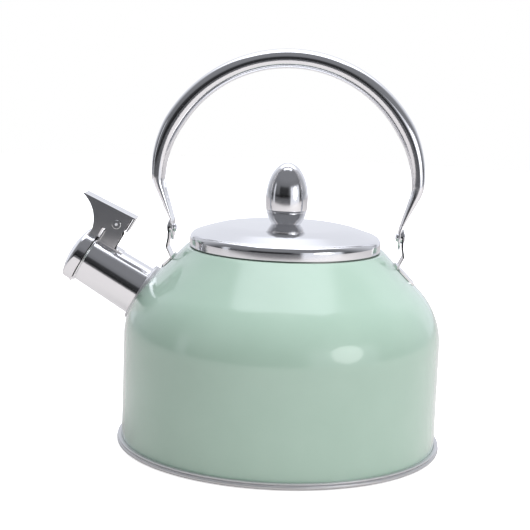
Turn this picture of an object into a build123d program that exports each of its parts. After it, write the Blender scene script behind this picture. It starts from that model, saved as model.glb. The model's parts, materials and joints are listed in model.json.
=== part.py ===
from build123d import *
import os
from math import cos, radians, sin, tan

os.makedirs("parts", exist_ok=True)

# A stovetop whistling kettle, in millimetres and degrees.
# The base stands on Z = 0 with the kettle's axis on Z. The spout points along -X.
# The bail handle stands in the XZ plane and folds about X. The cap opens about a pin along Y.

# ---------------------------------------------------------------- driving dimensions

# Sheet and general clearances
sheet = 0.6                 # drawn stainless sheet of the body, pan, spout, cap and lid
moving_gap = 0.3            # air between pieces that move past each other
running_fit = 0.05          # radial clearance of a pin in the piece that turns on it
side_gap = 0.15             # axial air beside a turning plate

# Body
body_radius = 97.2          # outside of the straight wall
wall_height = 66.8          # level where the straight wall meets the shoulder curve
shoulder_radius = 45.5      # outside radius of the shoulder curve
shoulder_slope = 45.0       # slope of the cone above the curve
ledge_rise = 55.6           # from that level to the flat ledge round the mouth
ledge_corner = 1.5          # outer rounding from the cone to the ledge
mouth_radius = 52.5         # inside of the neck
mouth_rounding = 0.9        # rounding where the ledge turns down into the neck
neck_depth = 10.0           # from the ledge to the lower edge of the neck

# Double seam and base
seam_proud = 2.8            # seam bead beyond the wall
seam_low = 0.8              # lowest level of the bead
seam_depth = 4.0            # height of the bead
seam_rounding = 1.3         # outer corner radius of the bead
hook_height = 2.2           # upstand of the body's hook inside the bead
base_inset = 18.6           # edge of the base plate inside the wall
base_sheet = 0.6            # thickness of the base plate
base_rounding = 0.48        # lower edge of the base plate
spreader_height = 2.8       # thickness of the aluminium heat spreader

# Spout
spout_slope = 30.0          # rise of the spout's axis
spout_lift = 2.8            # height of that axis above the shoulder's normal line
spout_length = 38.0         # from the collar's top to the mouth
spout_mouth_radius = 15.0   # outside of the tube at its mouth
spout_taper = 1.15          # gain in radius from the mouth to the collar
hole_inset = 1.95           # hole through the body inside the tube's root
collar_sink = 0.8           # collar's top below the shoulder's radius
collar_rim = 2.55           # width of the collar round the tube
lip_proud = 1.0             # ring round the mouth beyond the tube
lip_height = 1.2
lip_rounding = 0.4

# Cap and whistle
cap_proud = 1.0             # cap beyond the ring round the mouth
cap_height = 9.0            # from the cap's plate to the top of the dome
cap_dome = 3.3              # rise of the dome above its edge
cap_corner = 2.2            # rounding between side and dome
cap_flange = 0.7            # cap's plate beyond the cap
cap_plate_sheet = 0.8
cap_tab_reach = 5.0         # plate's tab beyond the cap
steam_hole_radius = 2.5
whistle_radius = 9.0
whistle_depth = 3.4
whistle_hole_radius = 2.0
seal_depth = 2.7            # plug of the seal below the cap's plate
seal_gap = 1.0              # radial air round that plug
seal_width = 2.6
seal_rounding = 0.6

# Thumb lever, its pin and its bracket, as distances behind or ahead of the mouth
# and rises above the side of the cap
pin_back = 4.9
pin_stand = 11.9
lever_width = 14.0
lever_sheet = 0.8
lever_tip_out = 21.3        # tip ahead of the mouth
lever_tip_stand = 17.1      # side plate at the tip
lever_heel_back = 10.9      # rear edge of the side plates
lever_heel_stand = 20.0     # side plate at the rear
lever_waist_out = 9.6       # narrowest stretch of the side plates
lever_waist_stand = 8.5
lever_arm_out = 6.4         # arm where it meets the cap
lever_arm_sink = 3.5        # arm below the side of the cap, trimmed to the dome
lever_belly = 4.1           # side plate below the pin at its rear corner
lever_belly_rounding = 3.0
ledge_overhang = 0.6        # thumb ledge past the tip
flap_gap = 1.2              # from the side plates to the rear flap
flap_length = 9.0
bracket_play = 0.6          # air between the bracket and each side plate
bracket_ear = 1.0           # thickness of the bracket's two ears
bracket_front = 1.0         # thickness of its front plate
bracket_heel_back = 11.2    # rear edge of the ears
bracket_heel_stand = 6.6    # top of that rear edge
saddle_length = 17.0
saddle_width = 12.0
saddle_sheet = 0.8
pin_radius = 2.0
pin_bore_radius = 0.9
pin_head_proud = 0.8        # heads of the pin beyond its shank
pin_head = 0.9
pin_head_rounding = 0.3
spring_wire = 0.8
spring_air = 0.1            # between the pin and the inside of the coil
spring_turns = 5
spring_pitch = 1.0
spring_leg = 5.5

# Lid
lid_overhang = 5.8          # rim of the lid outside the neck
lid_gap = 0.6               # lower edge of the rim above the ledge
lid_rim = 7.4               # from that edge to where the slope and the rim would meet
lid_slope_rise = 6.0        # from there to the outer end of the crown
lid_crown_rise = 0.8        # from there to the top
lid_corner_rounding = 4.5
lid_crown_radius = 40.0     # outer end of the crown
lid_crown_rounding = 30.0
lid_flat_radius = 9.5       # flat in the middle, under the knob
seat_air = 0.05             # under the lid where it rests on the ledge
seat_inset = 1.5            # ring that rests on the ledge, inside the rim
skirt_gap = 0.6             # radial air between skirt and neck
skirt_depth = 7.0           # skirt below the ledge

# Knob
knob_radius = 12.8
knob_tuck = 0.4             # loss of radius from the widest level to the knob's base
knob_base_height = 7.8      # from the knob's base to its widest level
knob_crown_height = 21.8    # from its widest level to its top
knob_wall = 1.6
collar_step = 0.3           # top of the knob's collar inside the knob's base
collar_flare = 3.3          # gain in radius up the collar
collar_belly = 0.45         # outward bow of the collar's side
collar_height = 7.4
groove_height = 0.6
groove_step = 1.2           # groove inside the knob's base
plug_gap = 0.1              # radial air between the plug and the knob's wall
plug_height = 7.0
screw_radius = 2.5
screw_head_radius = 4.6
screw_head = 2.6
screw_reach = 14.0          # shank above the underside of the lid
slot_width = 1.2            # driver slot in the screw's head
slot_depth = 1.2
washer_radius = 8.0
washer_height = 1.0

# Bail handle
pivot_rise = 9.6            # rivets above the ledge
tab_inset = 27.9            # middle of each tab inside the wall
tab_sheet = 1.2
tab_radius = 7.5            # half the width of a tab
bow_flare = 9.7             # middle of the bow at its widest outside the tabs
bow_rise = 32.0             # widest level above the rivets
bow_side_radius = 65.5      # middle line of the two sides
bow_corner = 60.0           # angle from the top where the top arc ends
bow_lean = 22.0             # lean of the lower limbs
knee_radius = 18.7          # bend from the side into the limb
ankle_radius = 12.0         # bend from the limb into the tab
bow_width = 17.0
bow_thickness = 11.6        # over the top
limb_thickness = 7.3        # at the widest level
bow_wall = 1.0
bow_edge = 0.4              # flat left between the roundings of the bow's edge
seam_slot = 1.2             # open seam along the inside of the bow
knee_thinning = 0.3         # share of the limb's thickness lost round the knee
side_steps = 6              # sections along each side arc
knee_steps = 4              # sections round each knee

# Ears, rivets and spacers
ear_sheet = 1.0
ear_boss_radius = 5.0       # round of the ear about the rivet
ear_width = 14.0            # at the foot
ear_upright = 6.0           # upright stretch below the rivet
ear_knee_drop = 11.5        # knee below the rivet
ear_flare = 0.9             # outward lean from the upright stretch to the knee
ear_foot_inset = 0.9        # start of the foot inside the middle of the tab
foot_length_right = 10.3    # foot beyond the middle of the tab
foot_length_left = 6.3      # shorter, to clear the spout's collar
foot_corner = 3.0
rivet_radius = 2.0
rivet_head_proud = 1.3      # outer head beyond the shank
rivet_head = 1.2
rivet_button_proud = 0.7    # inner head beyond the shank
rivet_button = 1.7
rivet_rounding = 0.5
spacer_wall = 1.8
spacer_height = 0.9

# ---------------------------------------------------------------- derived places

inner_radius = body_radius - sheet
shoulder_centre = body_radius - shoulder_radius
ledge_height = wall_height + ledge_rise
seam_radius = body_radius + seam_proud
seam_top = seam_low + seam_depth
pan_top = base_sheet + spreader_height + sheet
base_radius = body_radius - base_inset

spout_root_radius = spout_mouth_radius + spout_taper
collar_radius = spout_root_radius + collar_rim
spout_reach = shoulder_radius - collar_sink + spout_length
tube_bore = spout_mouth_radius - sheet
tube_root = -spout_length - shoulder_radius / 4    # the tube starts inside the body, trimmed to it
lip_radius = spout_mouth_radius + lip_proud
cap_radius = lip_radius + cap_proud
cap_tab = cap_radius + cap_tab_reach
plate_low = lip_height + moving_gap
plate_top = plate_low + cap_plate_sheet

pin_rise = cap_radius + pin_stand
lever_tip_rise = cap_radius + lever_tip_stand
lever_heel_rise = cap_radius + lever_heel_stand
lever_waist_rise = cap_radius + lever_waist_stand
flap_inside = -lever_heel_back - flap_gap
flap_outside = flap_inside - lever_sheet
bracket_width = lever_width - 2 * (lever_sheet + bracket_play)
bracket_heel_rise = cap_radius + bracket_heel_stand
bracket_boss = pin_back - bracket_front
spring_radius = pin_radius + spring_air + spring_wire / 2

lid_radius = mouth_radius + lid_overhang
lid_low = ledge_height + lid_gap
lid_corner_height = lid_low + lid_rim
lid_crown_height = lid_corner_height + lid_slope_rise
lid_top = lid_crown_height + lid_crown_rise
skirt_radius = mouth_radius - skirt_gap

knob_base = lid_top + collar_height + groove_height
knob_base_radius = knob_radius - knob_tuck
collar_top_radius = knob_base_radius - collar_step
collar_low_radius = collar_top_radius - collar_flare
collar_middle_radius = (collar_low_radius + collar_top_radius) / 2 + collar_belly

pivot_height = ledge_height + pivot_rise
tab_span = body_radius - tab_inset
bow_span = tab_span + bow_flare
bow_widest = pivot_height + bow_rise
bow_rounding = (bow_thickness - bow_edge) / 2
ear_span = tab_span + tab_sheet / 2 + side_gap + spacer_height + ear_sheet / 2
ear_foot_span = tab_span - ear_foot_inset

slope_out = Vector(-cos(radians(spout_slope)), 0, sin(radians(spout_slope)))
slope_up = Vector(sin(radians(spout_slope)), 0, cos(radians(spout_slope)))
spout_foot = Vector(-shoulder_centre, 0, wall_height) + slope_up * spout_lift
mouth_point = spout_foot + slope_out * spout_reach
pin_point = mouth_point + slope_up * pin_rise - slope_out * pin_back
spout_axis = Axis(origin=spout_foot, direction=slope_out)
# Across the spout at its mouth: x is the rise above the axis.
mouth_plane = Plane(origin=mouth_point, x_dir=slope_up, z_dir=slope_out)
# Along the spout: x is the rise above the axis and y the distance out from the mouth.
spout_half = Plane(origin=mouth_point, x_dir=slope_up, z_dir=(0, -1, 0))
pin_plane = Plane(origin=pin_point, x_dir=slope_up, z_dir=(0, -1, 0))

# ---------------------------------------------------------------- sections used by several pieces


def nearest_corner(section, plane, place):
    """The vertex of a sketch that lies nearest to a place given in its plane."""
    return section.vertices().sort_by_distance(plane.from_local_coords(Vector(*place)))[0]


def body_section(inset):
    """Half-section of the body down to the seam, closed to the axis, its outline inset by a thickness."""
    radius = shoulder_radius - inset
    slope = radians(shoulder_slope)
    arc_end = (shoulder_centre + radius * cos(slope), wall_height + radius * sin(slope))
    top = ledge_height - inset
    corner = (arc_end[0] - (top - arc_end[1]) * tan(slope), top)
    floor = seam_low + sheet
    with BuildSketch() as flat:
        with BuildLine():
            Polyline((0, top), (0, floor), (body_radius - inset, floor), (body_radius - inset, wall_height))
            CenterArc((shoulder_centre, wall_height), radius, 0, shoulder_slope)
            Polyline(arc_end, corner, (0, top))
        make_face()
        fillet(nearest_corner(flat, Plane.XY, corner), ledge_corner - inset)
    return Plane.XZ * flat.sketch


def rectangle_section(plane, inner, outer, low, high):
    """Rectangle in a half-plane between two radii and two levels."""
    with BuildSketch(plane) as section:
        with Locations(((inner + outer) / 2, (low + high) / 2)):
            Rectangle(outer - inner, high - low)
    return section.sketch


def tube_radius(out):
    """Outside radius of the tapered spout tube at a distance from the mouth."""
    return spout_mouth_radius - spout_taper * out / spout_length


def tube_section(inner, outer, low, high):
    """Slanted strip that follows the tube's wall, between two distances outwards from its outside."""
    with BuildSketch(spout_half) as section:
        with BuildLine():
            Polyline(
                (tube_radius(low) + inner, low),
                (tube_radius(high) + inner, high),
                (tube_radius(high) + outer, high),
                (tube_radius(low) + outer, low),
                close=True,
            )
        make_face()
    return section.sketch


def tube_core():
    """Half-section of everything inside the outside of the tube."""
    with BuildSketch(spout_half) as section:
        with BuildLine():
            root_edge = (tube_radius(tube_root), tube_root)
            Polyline((0, tube_root), root_edge, (spout_mouth_radius, 0), (0, 0), close=True)
        make_face()
    return section.sketch


def cap_section(inset):
    """Half-section of the cap, closed to the spout's axis, its outline inset by a thickness."""
    top = plate_top + cap_height - inset
    side_top = (cap_radius - inset, top - cap_dome)
    with BuildSketch() as flat:
        with BuildLine():
            Polyline((0, top), (0, plate_top), (cap_radius - inset, plate_top), side_top)
            ThreePointArc(side_top, (cap_radius / 2, top - cap_dome / 4), (0, top))
        make_face()
        fillet(nearest_corner(flat, Plane.XY, side_top), cap_corner - inset)
    return spout_half * flat.sketch


def knob_section(inset):
    """Half-section of the egg-shaped knob, closed to the axis, its outline inset by a thickness."""
    widest = knob_base + knob_base_height
    across = knob_radius - inset
    base_corner = (knob_base_radius - inset, knob_base)
    crown = knob_crown_height - inset
    half_way = (across * cos(radians(45)), widest + crown * sin(radians(45)))
    with BuildSketch(Plane.XZ) as section:
        with BuildLine():
            Spline((across, widest), half_way, (0, widest + crown), tangents=((0, 1), (-1, 0)))
            Polyline((0, widest + crown), (0, knob_base), base_corner)
            TangentArc((across, widest), base_corner, tangent=(0, -1))
        make_face()
    return section.sketch


def lid_section():
    """Half-section of the lid's outside, closed to the axis: flat middle, crown, slope and upright rim."""
    crown_middle = ((lid_flat_radius + lid_crown_radius) / 2, lid_top - (lid_top - lid_crown_height) / 4)
    crown_end = (lid_crown_radius, lid_crown_height)
    rim_corner = (lid_radius, lid_corner_height)
    with BuildSketch() as flat:
        with BuildLine():
            ThreePointArc((lid_flat_radius, lid_top), crown_middle, crown_end)
            Polyline(
                crown_end,
                rim_corner,
                (lid_radius, lid_low),
                (0, lid_low),
                (0, lid_top),
                (lid_flat_radius, lid_top),
            )
        make_face()
        fillet(nearest_corner(flat, Plane.XY, rim_corner), lid_corner_rounding)
        fillet(nearest_corner(flat, Plane.XY, crown_end), lid_crown_rounding)
    return Plane.XZ * flat.sketch


# ---------------------------------------------------------------- body

with BuildPart() as body_shell:
    revolve(body_section(0), axis=Axis.Z)
    revolve(body_section(sheet), axis=Axis.Z, mode=Mode.SUBTRACT)
    with BuildSketch(Plane.XY.offset(ledge_height - neck_depth)):
        Circle(mouth_radius + sheet)
    extrude(amount=neck_depth)
    with BuildSketch(Plane.XY.offset(ledge_height - neck_depth)):
        Circle(mouth_radius)
    extrude(amount=neck_depth, mode=Mode.SUBTRACT)
    ledge_rims = body_shell.edges().filter_by(GeomType.CIRCLE).group_by(Axis.Z)[-1]
    fillet(ledge_rims.sort_by(SortBy.RADIUS)[0], mouth_rounding)
    with BuildSketch(mouth_plane.offset(-spout_reach + shoulder_radius / 2)):
        Circle(spout_root_radius - hole_inset)
    extrude(amount=shoulder_radius, mode=Mode.SUBTRACT)
    hook_radius = seam_radius - 2 * sheet
    hook_low = seam_low + sheet
    revolve(rectangle_section(Plane.XZ, inner_radius, hook_radius, hook_low, hook_low + sheet), axis=Axis.Z)
    revolve(
        rectangle_section(Plane.XZ, hook_radius - sheet, hook_radius, hook_low, hook_low + hook_height),
        axis=Axis.Z,
    )
body_shell.part.label = "body_shell"
export_step(body_shell.part, "parts/body_shell.step")

bead_inner = inner_radius - sheet
with BuildPart() as bottom_pan:
    with BuildSketch(Plane.XZ):
        with Locations(((seam_radius + bead_inner) / 2, (seam_low + seam_top) / 2)):
            Rectangle(seam_radius - bead_inner, seam_depth)
    revolve(axis=Axis.Z)
    fillet(bottom_pan.edges().filter_by(GeomType.CIRCLE).sort_by(SortBy.RADIUS)[-2:], seam_rounding)
    revolve(
        rectangle_section(Plane.XZ, inner_radius, seam_radius - sheet, seam_low + sheet, seam_top - sheet),
        axis=Axis.Z,
        mode=Mode.SUBTRACT,
    )
    revolve(
        rectangle_section(Plane.XZ, inner_radius, body_radius, seam_low + sheet, seam_top),
        axis=Axis.Z,
        mode=Mode.SUBTRACT,
    )
    with BuildSketch(Plane.XY.offset(pan_top - sheet)):
        Circle(bead_inner + sheet / 2)
    extrude(amount=sheet)
bottom_pan.part.label = "bottom_pan"
export_step(bottom_pan.part, "parts/bottom_pan.step")

with BuildPart() as heat_spreader:
    with BuildSketch(Plane.XY.offset(base_sheet)):
        Circle(base_radius - base_sheet)
    extrude(amount=spreader_height)
heat_spreader.part.label = "heat_spreader"
export_step(heat_spreader.part, "parts/heat_spreader.step")

with BuildPart() as base_plate:
    with BuildSketch():
        Circle(base_radius)
    extrude(amount=base_sheet + spreader_height)
    fillet(base_plate.edges().filter_by(GeomType.CIRCLE).sort_by(Axis.Z)[0], base_rounding)
    with BuildSketch(Plane.XY.offset(base_sheet)):
        Circle(base_radius - base_sheet)
    extrude(amount=spreader_height, mode=Mode.SUBTRACT)
base_plate.part.label = "base_plate"
export_step(base_plate.part, "parts/base_plate.step")

# ---------------------------------------------------------------- spout

with BuildPart() as spout_tube:
    revolve(tube_section(-sheet, 0, tube_root, 0), axis=spout_axis)
    revolve(body_section(0), axis=Axis.Z, mode=Mode.SUBTRACT)
spout_tube.part.label = "spout_tube"
export_step(spout_tube.part, "parts/spout_tube.step")

with BuildPart() as spout_collar:
    revolve(rectangle_section(spout_half, 0, collar_radius, tube_root, -spout_length), axis=spout_axis)
    revolve(tube_core(), axis=spout_axis, mode=Mode.SUBTRACT)
    revolve(body_section(0), axis=Axis.Z, mode=Mode.SUBTRACT)
spout_collar.part.label = "spout_collar"
export_step(spout_collar.part, "parts/spout_collar.step")

with BuildPart() as mouth_ring:
    revolve(rectangle_section(spout_half, tube_bore, lip_radius, 0, lip_height), axis=spout_axis)
    fillet(mouth_ring.edges().filter_by(GeomType.CIRCLE).sort_by(SortBy.RADIUS)[-2:], lip_rounding)
mouth_ring.part.label = "mouth_ring"
export_step(mouth_ring.part, "parts/mouth_ring.step")

# ---------------------------------------------------------------- hinge of the cap

with BuildPart() as saddle_strip:
    revolve(tube_section(0, saddle_sheet, -saddle_length, 0), axis=spout_axis)
    with BuildSketch(spout_half):
        with Locations((spout_root_radius, -saddle_length / 2)):
            Rectangle(spout_root_radius, saddle_length)
    extrude(amount=saddle_width / 2, both=True, mode=Mode.INTERSECT)

with BuildPart() as hinge_bracket:
    with BuildSketch(spout_half):
        with BuildLine():
            Polyline(
                (0, -bracket_front),
                (pin_rise, -bracket_front),
                (pin_rise, -pin_back - bracket_boss),
                (bracket_heel_rise, -bracket_heel_back),
                (0, -bracket_heel_back),
                close=True,
            )
        make_face()
        with Locations((pin_rise, -pin_back)):
            Circle(bracket_boss)
    extrude(amount=bracket_width / 2, both=True)
    with BuildSketch(spout_half):
        with Locations((pin_rise, -bracket_heel_back)):
            Rectangle(2 * pin_rise, 2 * bracket_heel_back)
    extrude(amount=bracket_width / 2 - bracket_ear, both=True, mode=Mode.SUBTRACT)
    with BuildSketch(spout_half):
        with Locations(((cap_tab - moving_gap) / 2, -bracket_front / 2)):
            Rectangle(cap_tab - moving_gap, bracket_front)
    extrude(amount=lever_width / 2, both=True)
    add(saddle_strip.part)
    with BuildSketch(pin_plane):
        Circle(pin_radius)
    extrude(amount=lever_width, both=True, mode=Mode.SUBTRACT)
    revolve(tube_core(), axis=spout_axis, mode=Mode.SUBTRACT)
hinge_bracket.part.label = "hinge_bracket"
export_step(hinge_bracket.part, "parts/hinge_bracket.step")

with BuildPart() as lever_pin:
    head_start = lever_width / 2 + side_gap
    with BuildSketch(pin_plane):
        Circle(pin_radius)
    extrude(amount=head_start, both=True)
    for side in (-1, 1):
        with BuildSketch(pin_plane.offset(side * head_start)):
                Circle(pin_radius + pin_head_proud)
        extrude(amount=side * pin_head)
    pin_rims = lever_pin.edges().filter_by(GeomType.CIRCLE).group_by(Axis.Y)
    fillet(pin_rims[0] + pin_rims[-1], pin_head_rounding)
    with BuildSketch(pin_plane):
        Circle(pin_bore_radius)
    extrude(amount=lever_width, both=True, mode=Mode.SUBTRACT)
lever_pin.part.label = "lever_pin"
export_step(lever_pin.part, "parts/lever_pin.step")

with BuildPart() as lever_spring:
    coil_height = spring_pitch * spring_turns
    coil_start = pin_point - Vector(0, coil_height / 2, 0)
    with BuildLine() as coil:
        Helix(
            pitch=spring_pitch,
            height=coil_height,
            radius=spring_radius,
            center=coil_start,
            direction=(0, 1, 0),
        )
    with BuildSketch(Plane(origin=coil.line @ 0, z_dir=coil.line % 0)):
        Circle(spring_wire / 2)
    sweep()
    for end, way in ((0, -1), (1, 1)):
        with BuildSketch(Plane(origin=coil.line @ end, z_dir=(coil.line % end) * way)):
            Circle(spring_wire / 2)
        extrude(amount=spring_leg)
lever_spring.part.label = "lever_spring"
export_step(lever_spring.part, "parts/lever_spring.step")

# ---------------------------------------------------------------- thumb lever and cap


def ledge_rise(out):
    """Underside of the thumb ledge above the spout's axis, at a distance from the mouth."""
    slope = (lever_heel_rise - lever_tip_rise) / (lever_tip_out + lever_heel_back)
    return lever_tip_rise + slope * (lever_tip_out - out)


with BuildPart() as thumb_lever:
    tip = (lever_tip_rise, lever_tip_out)
    heel_corner = (pin_rise - lever_belly, -lever_heel_back)
    arm_low = cap_radius - lever_arm_sink
    arm_corner = (cap_radius + lever_sheet, lever_arm_out)
    with BuildSketch(spout_half):
        with BuildLine():
            Polyline(
                tip,
                (lever_heel_rise, -lever_heel_back),
                heel_corner,
                (cap_tab + moving_gap, plate_top),
                (arm_low, plate_top),
                (arm_low, lever_arm_out),
                arm_corner,
            )
            ThreePointArc(arm_corner, (lever_waist_rise, lever_waist_out), tip)
        make_face()
        with Locations((pin_rise, -pin_back)):
            Circle(pin_radius + running_fit, mode=Mode.SUBTRACT)
    extrude(amount=lever_width / 2, both=True)
    heel_place = spout_half.from_local_coords(Vector(*heel_corner))
    fillet(thumb_lever.edges().filter_by(Axis.Y).sort_by_distance(heel_place)[0], lever_belly_rounding)
    with BuildSketch(spout_half):
        Rectangle(4 * lever_heel_rise, 4 * lever_heel_rise)
    extrude(amount=lever_width / 2 - lever_sheet, both=True, mode=Mode.SUBTRACT)
    ledge_front = lever_tip_out + ledge_overhang
    with BuildSketch(spout_half):
        with BuildLine():
            Polyline(
                (ledge_rise(ledge_front), ledge_front),
                (ledge_rise(ledge_front) + lever_sheet, ledge_front),
                (ledge_rise(flap_outside) + lever_sheet, flap_outside),
                (ledge_rise(flap_outside) - flap_length, flap_outside),
                (ledge_rise(flap_outside) - flap_length, flap_inside),
                (ledge_rise(flap_inside), flap_inside),
                close=True,
            )
        make_face()
    extrude(amount=lever_width / 2, both=True)
    revolve(cap_section(0), axis=spout_axis, mode=Mode.SUBTRACT)
thumb_lever.part.label = "thumb_lever"
export_step(thumb_lever.part, "parts/thumb_lever.step")

with BuildPart() as cap_plate:
    with BuildSketch(mouth_plane.offset(plate_low)):
        Circle(cap_radius + cap_flange)
        with Locations((cap_tab / 2, 0)):
            Rectangle(cap_tab, lever_width)
        Circle(whistle_hole_radius, mode=Mode.SUBTRACT)
    extrude(amount=cap_plate_sheet)
cap_plate.part.label = "cap_plate"
export_step(cap_plate.part, "parts/cap_plate.step")

with BuildPart() as cap_shell:
    revolve(cap_section(0), axis=spout_axis)
    revolve(cap_section(sheet), axis=spout_axis, mode=Mode.SUBTRACT)
    with BuildSketch(mouth_plane.offset(plate_top)):
        Circle(steam_hole_radius)
    extrude(amount=2 * cap_height, mode=Mode.SUBTRACT)
cap_shell.part.label = "cap_shell"
export_step(cap_shell.part, "parts/cap_shell.step")

with BuildPart() as whistle_cup:
    with BuildSketch(mouth_plane.offset(plate_top)):
        Circle(whistle_radius)
    extrude(amount=whistle_depth)
    offset(amount=-sheet, openings=whistle_cup.faces().sort_by(spout_axis)[0])
    with BuildSketch(mouth_plane.offset(plate_top)):
        Circle(whistle_hole_radius)
    extrude(amount=2 * whistle_depth, mode=Mode.SUBTRACT)
whistle_cup.part.label = "whistle_cup"
export_step(whistle_cup.part, "parts/whistle_cup.step")

with BuildPart() as cap_seal:
    seal_outer = tube_bore - seal_gap
    seal_inner = seal_outer - seal_width
    seal_low = plate_low - seal_depth
    revolve(rectangle_section(spout_half, seal_inner, seal_outer, seal_low, plate_low), axis=spout_axis)
    fillet(cap_seal.edges().filter_by(GeomType.CIRCLE).sort_by(spout_axis)[:2], seal_rounding)
cap_seal.part.label = "cap_seal"
export_step(cap_seal.part, "parts/cap_seal.step")

# ---------------------------------------------------------------- lid

with BuildPart() as lid_cover:
    revolve(lid_section(), axis=Axis.Z)
    offset(amount=-sheet, openings=lid_cover.faces().sort_by(Axis.Z)[0])
    with BuildSketch(Plane.XY.offset(lid_low)):
        Circle(screw_radius)
    extrude(amount=2 * (lid_top - lid_low), mode=Mode.SUBTRACT)
lid_cover.part.label = "lid_cover"
export_step(lid_cover.part, "parts/lid_cover.step")

with BuildPart() as lid_skirt:
    seat = ledge_height + seat_air
    seat_radius = lid_radius - seat_inset
    rim_inside = lid_radius - sheet
    skirt_inside = skirt_radius - sheet
    skirt_low = ledge_height - skirt_depth
    revolve(rectangle_section(Plane.XZ, skirt_inside, skirt_radius, skirt_low, seat), axis=Axis.Z)
    revolve(rectangle_section(Plane.XZ, skirt_inside, seat_radius, seat, seat + sheet), axis=Axis.Z)
    revolve(
        rectangle_section(Plane.XZ, seat_radius - sheet, rim_inside, seat + sheet, seat + 2 * sheet),
        axis=Axis.Z,
    )
lid_skirt.part.label = "lid_skirt"
export_step(lid_skirt.part, "parts/lid_skirt.step")

# ---------------------------------------------------------------- knob

with BuildPart() as knob_collar:
    with BuildSketch(Plane.XZ):
        with BuildLine():
            low_edge = (collar_low_radius, lid_top)
            top_edge = (collar_top_radius, lid_top + collar_height)
            ThreePointArc(low_edge, (collar_middle_radius, lid_top + collar_height / 2), top_edge)
            Polyline(
                top_edge,
                (knob_base_radius - groove_step, lid_top + collar_height),
                (knob_base_radius - groove_step, knob_base),
                (screw_radius, knob_base),
                (screw_radius, lid_top),
                low_edge,
            )
        make_face()
    revolve(axis=Axis.Z)
knob_collar.part.label = "knob_collar"
export_step(knob_collar.part, "parts/knob_collar.step")

with BuildPart() as knob_shell:
    revolve(knob_section(0), axis=Axis.Z)
    revolve(knob_section(knob_wall), axis=Axis.Z, mode=Mode.SUBTRACT)
knob_shell.part.label = "knob_shell"
export_step(knob_shell.part, "parts/knob_shell.step")

with BuildPart() as knob_plug:
    with BuildSketch(Plane.XY.offset(knob_base)):
        Circle(knob_base_radius - knob_wall - plug_gap)
        Circle(screw_radius, mode=Mode.SUBTRACT)
    extrude(amount=plug_height)
knob_plug.part.label = "knob_plug"
export_step(knob_plug.part, "parts/knob_plug.step")

lid_underside = lid_top - sheet
with BuildPart() as knob_washer:
    with BuildSketch(Plane.XY.offset(lid_underside - washer_height)):
        Circle(washer_radius)
        Circle(screw_radius, mode=Mode.SUBTRACT)
    extrude(amount=washer_height)
knob_washer.part.label = "knob_washer"
export_step(knob_washer.part, "parts/knob_washer.step")

with BuildPart() as knob_screw:
    head_top = lid_underside - washer_height
    with BuildSketch(Plane.XY.offset(head_top)):
        Circle(screw_radius)
    extrude(amount=screw_reach + washer_height)
    with BuildSketch(Plane.XY.offset(head_top - screw_head)):
        Circle(screw_head_radius)
    extrude(amount=screw_head)
    with BuildSketch(Plane.XY.offset(head_top - screw_head)):
        Rectangle(2 * screw_head_radius, slot_width)
    extrude(amount=slot_depth, mode=Mode.SUBTRACT)
knob_screw.part.label = "knob_screw"
export_step(knob_screw.part, "parts/knob_screw.step")

# ---------------------------------------------------------------- bail handle

# The bow's middle line: a top arc, a side arc, a knee, a straight limb and an ankle, tangent to each other.
side_centre = (bow_span - bow_side_radius, bow_widest)
bow_top_radius = bow_side_radius + side_centre[0] / sin(radians(bow_corner))
top_centre_height = bow_widest - side_centre[0] / tan(radians(bow_corner))
knee_centre = (bow_span - knee_radius, bow_widest)
knee_end = (
    knee_centre[0] + knee_radius * cos(radians(bow_lean)),
    knee_centre[1] - knee_radius * sin(radians(bow_lean)),
)
ankle_start_x = tab_span + ankle_radius * (1 - cos(radians(bow_lean)))
ankle_start = (ankle_start_x, knee_end[1] - (knee_end[0] - ankle_start_x) / tan(radians(bow_lean)))
ankle_end = (tab_span, ankle_start[1] - ankle_radius * sin(radians(bow_lean)))


def arc_station(centre_x, centre_z, radius, angle):
    """Place on an arc at an angle from the top, and the direction down the bow there."""
    turn = radians(angle)
    return (centre_x + radius * sin(turn), centre_z + radius * cos(turn)), (cos(turn), -sin(turn))


limb_direction = (-sin(radians(bow_lean)), -cos(radians(bow_lean)))
limb_middle = ((knee_end[0] + ankle_start[0]) / 2, (knee_end[1] + ankle_start[1]) / 2)
knee_thickness = limb_thickness - (limb_thickness - tab_sheet) * knee_thinning

# Stations down one side of the bow, from the end of the top arc: place, direction, and thickness there.
stations = []
for step in range(side_steps + 1):
    share = step / side_steps
    angle = bow_corner + (90 - bow_corner) * share
    thickness = bow_thickness + (limb_thickness - bow_thickness) * share
    stations.append((*arc_station(*side_centre, bow_side_radius, angle), thickness))
for step in range(1, knee_steps + 1):
    share = step / knee_steps
    thickness = limb_thickness + (knee_thickness - limb_thickness) * share
    stations.append((*arc_station(*knee_centre, knee_radius, 90 + bow_lean * share), thickness))
hollow_stations = len(stations)
stations.append((limb_middle, limb_direction, (knee_thickness + tab_sheet) / 2))
stations.append((ankle_start, limb_direction, tab_sheet))


def station_plane(place, direction):
    """Plane across the bow: x along the bow's width, y across its thickness."""
    return Plane(origin=(place[0], 0, place[1]), x_dir=(0, 1, 0), z_dir=(direction[0], 0, direction[1]))


def station_width(height):
    """Width of the bow, narrowing down the limbs to the tab's width."""
    share = min(1.0, max(0.0, (height - ankle_start[1]) / (bow_widest - ankle_start[1])))
    return 2 * tab_radius + (bow_width - 2 * tab_radius) * share


def bow_section(station, inset):
    """Rounded section of the bow at a station, inset by a thickness."""
    place, direction, thickness = station
    rounding = bow_rounding * thickness / bow_thickness - inset
    with BuildSketch(station_plane(place, direction)) as section:
        RectangleRounded(station_width(place[1]) - 2 * inset, thickness - 2 * inset, rounding)
    return section.sketch


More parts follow.
